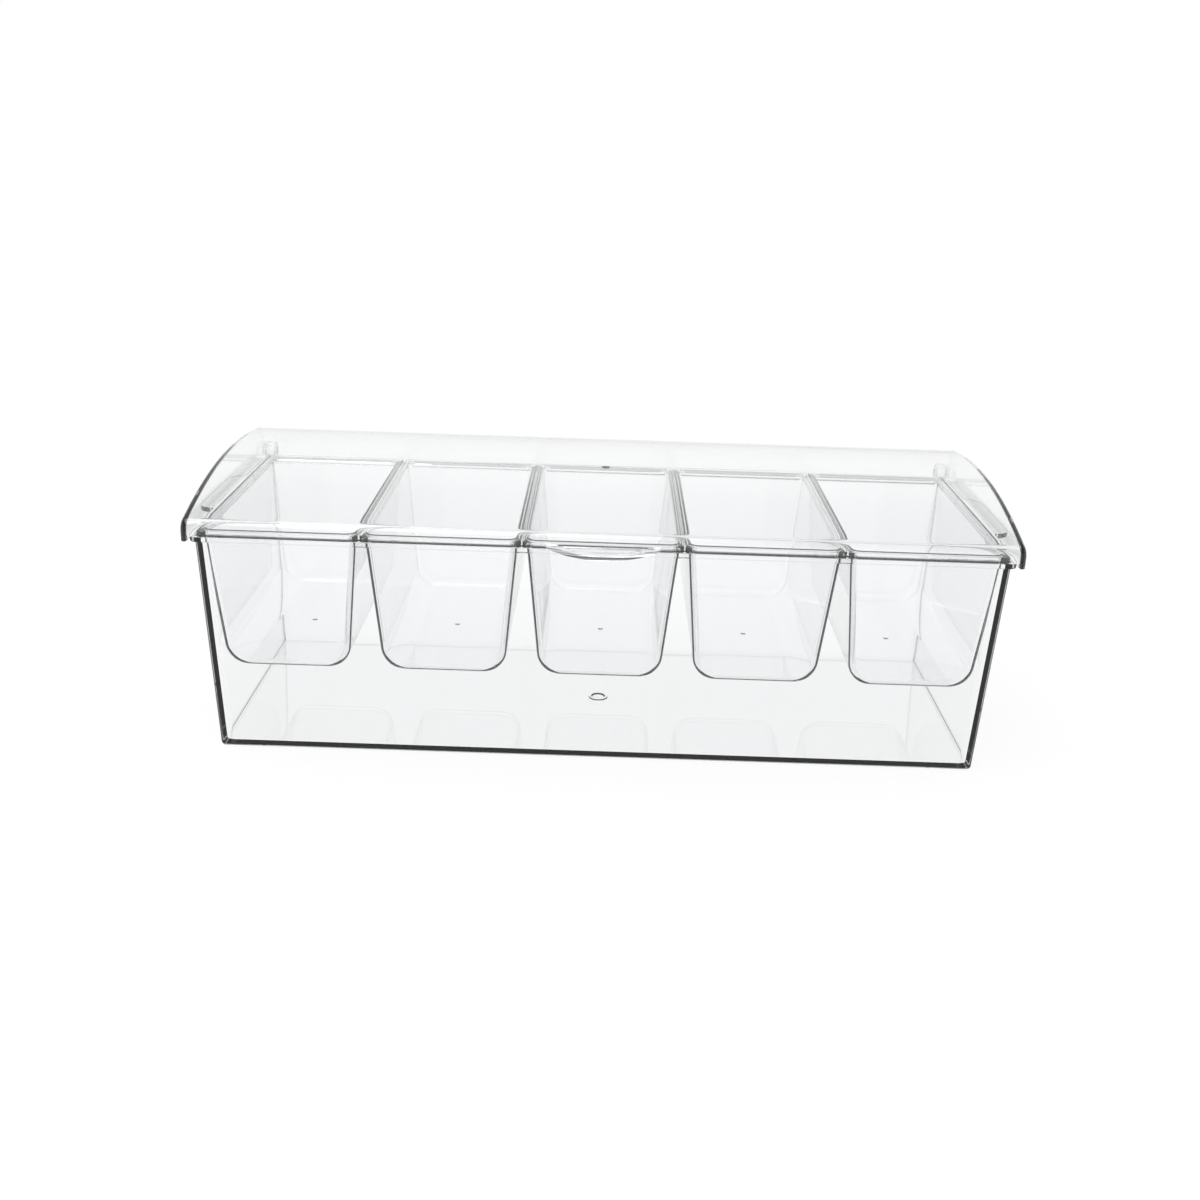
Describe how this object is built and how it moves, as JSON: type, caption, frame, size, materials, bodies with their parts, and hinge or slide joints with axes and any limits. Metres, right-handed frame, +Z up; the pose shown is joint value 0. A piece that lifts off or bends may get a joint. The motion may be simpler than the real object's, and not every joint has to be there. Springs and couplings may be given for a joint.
{
  "type": "chilled serving tray",
  "caption": "Clear condiment server: a deep ice tray, lift-out food cups hung side by side from its rim, and a low crowned lid hinged at the back corners.",
  "frame": {"origin": "on the table under the middle of the tray: the bottom centre of the bounding box", "axes": "+X along the row of cups, +Y to the hinge at the back, +Z up"},
  "size_m": [0.4212, 0.1803, 0.1375],
  "materials": {
    "clear_plastic": "gloss"
  },
  "bodies": {
    "tray": {"tray": "clear_plastic", "hinge_pin_left": "clear_plastic", "hinge_pin_right": "clear_plastic"},
    "lid": {"lid": "clear_plastic"},
    "cup_1": {"cup_1": "clear_plastic"},
    "cup_2": {"cup_2": "clear_plastic"},
    "cup_3": {"cup_3": "clear_plastic"},
    "cup_4": {"cup_4": "clear_plastic"},
    "cup_5": {"cup_5": "clear_plastic"}
  },
  "joints": [
    {"name": "lid_hinge", "type": "hinge", "parent": "tray", "child": "lid", "pos_m": [0, 0.0849, 0.117], "axis": [-1, 0, 0], "range_deg": [0, 105]},
    {"name": "cup_1_lift", "type": "slide", "parent": "tray", "child": "cup_1", "axis": [0, 0, 1], "range_m": [0, 0.002]},
    {"name": "cup_2_lift", "type": "slide", "parent": "tray", "child": "cup_2", "axis": [0, 0, 1], "range_m": [0, 0.002]},
    {"name": "cup_3_lift", "type": "slide", "parent": "tray", "child": "cup_3", "axis": [0, 0, 1], "range_m": [0, 0.002]},
    {"name": "cup_4_lift", "type": "slide", "parent": "tray", "child": "cup_4", "axis": [0, 0, 1], "range_m": [0, 0.002]},
    {"name": "cup_5_lift", "type": "slide", "parent": "tray", "child": "cup_5", "axis": [0, 0, 1], "range_m": [0, 0.002]}
  ]
}
